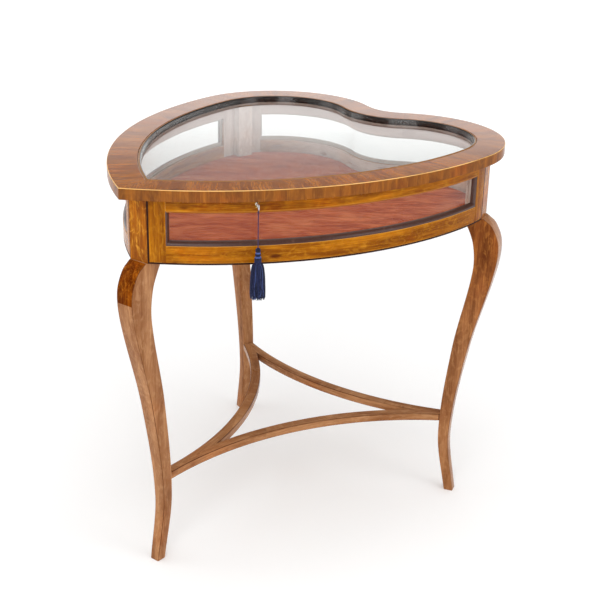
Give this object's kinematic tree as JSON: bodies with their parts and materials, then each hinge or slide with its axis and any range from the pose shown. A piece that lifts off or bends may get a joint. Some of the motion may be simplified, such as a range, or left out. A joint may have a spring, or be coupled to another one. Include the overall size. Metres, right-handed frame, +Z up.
{
  "type": "heart-shaped display table",
  "caption": "Small heart-shaped display table: glazed case with hinged glazed lid, cabriole legs, curved stretchers, lock with key and tassel.",
  "frame": {"origin": "on the floor, below the middle of the lid's outline", "axes": "+Z up; the heart's point faces -Y and its two lobes +Y; +X is the side with the lock"},
  "size_m": [0.7132, 0.8008, 0.75],
  "materials": {
    "leg_wood": "polished red-brown",
    "case_wood": "polished golden brown",
    "lid_wood": "polished mid brown",
    "board_wood": "raw",
    "ebonised_wood": "black gloss",
    "pane_glass": "clear",
    "lid_glass": "clear",
    "velvet": "short pile",
    "brass": "satin",
    "key_steel": "polished",
    "cord": "twisted",
    "tassel_thread": "silky"
  },
  "bodies": {
    "case": {"front_leg": "leg_wood", "right_leg": "leg_wood", "left_leg": "leg_wood", "right_top_rail": "case_wood", "left_top_rail": "case_wood", "back_right_top_rail": "case_wood", "back_left_top_rail": "case_wood", "back_middle_top_rail": "case_wood", "right_bottom_rail": "case_wood", "left_bottom_rail": "case_wood", "back_right_bottom_rail": "case_wood", "back_left_bottom_rail": "case_wood", "back_middle_bottom_rail": "case_wood", "right_front_stile": "case_wood", "left_front_stile": "case_wood", "right_rear_stile": "case_wood", "left_rear_stile": "case_wood", "back_right_stile": "case_wood", "back_left_stile": "case_wood", "right_pane": "pane_glass", "left_pane": "pane_glass", "back_pane": "pane_glass", "right_bead": "ebonised_wood", "left_bead": "ebonised_wood", "back_bead": "ebonised_wood", "corner_lines": "ebonised_wood", "base_lines": "ebonised_wood", "baseboard": "board_wood", "velvet_lining": "velvet", "right_stretcher": "leg_wood", "left_stretcher": "leg_wood", "back_stretcher": "leg_wood", "lock_case": "brass", "escutcheon": "brass", "right_fixed_leaf": "brass", "left_fixed_leaf": "brass", "right_hinge_pin": "brass", "left_hinge_pin": "brass", "case_screws": "brass"},
    "lid": {"lid_right_rail": "lid_wood", "lid_left_rail": "lid_wood", "lid_back_right_rail": "lid_wood", "lid_back_left_rail": "lid_wood", "lid_back_middle_rail": "lid_wood", "lid_seat_bead": "ebonised_wood", "lid_glass": "lid_glass", "lid_top_bead": "ebonised_wood", "link_plate": "brass", "right_moving_leaf": "brass", "left_moving_leaf": "brass", "lid_screws": "brass"},
    "key": {"key": "key_steel"},
    "bolt": {"lock_bolt": "brass"},
    "knot": {"cord_loop": "cord"},
    "tassel": {"tassel_cord": "cord", "tassel": "tassel_thread"}
  },
  "joints": [
    {"name": "lid_hinge", "type": "hinge", "parent": "case", "child": "lid", "pos_m": [0, 0.37877, 0.72885], "axis": [-1, 0, 0], "range_deg": [0, 90]},
    {"name": "key_turn", "type": "hinge", "parent": "case", "child": "key", "pos_m": [0.15937, -0.23829, 0.7185], "axis": [0.7524, -0.6587, 0], "range_deg": [0, 90]},
    {"name": "bolt_slide", "type": "slide", "parent": "case", "child": "bolt", "axis": [0.6587, 0.7524, 0], "range_m": [0, 0.005]},
    {"name": "knot_swivel", "type": "hinge", "parent": "key", "child": "knot", "pos_m": [0.17216, -0.24949, 0.7127], "axis": [0.7524, -0.6587, 0], "range_deg": [-90, 0]},
    {"name": "tassel_swing", "type": "hinge", "parent": "knot", "child": "tassel", "pos_m": [0.17216, -0.24949, 0.7084], "axis": [-0.6587, -0.7524, 0], "range_deg": [-2, 60]}
  ],
  "couplings": [
    {"joint": "bolt_slide", "follows": "key_turn", "m_per_rad": 0.003183},
    {"joint": "knot_swivel", "follows": "key_turn", "ratio": -1}
  ]
}
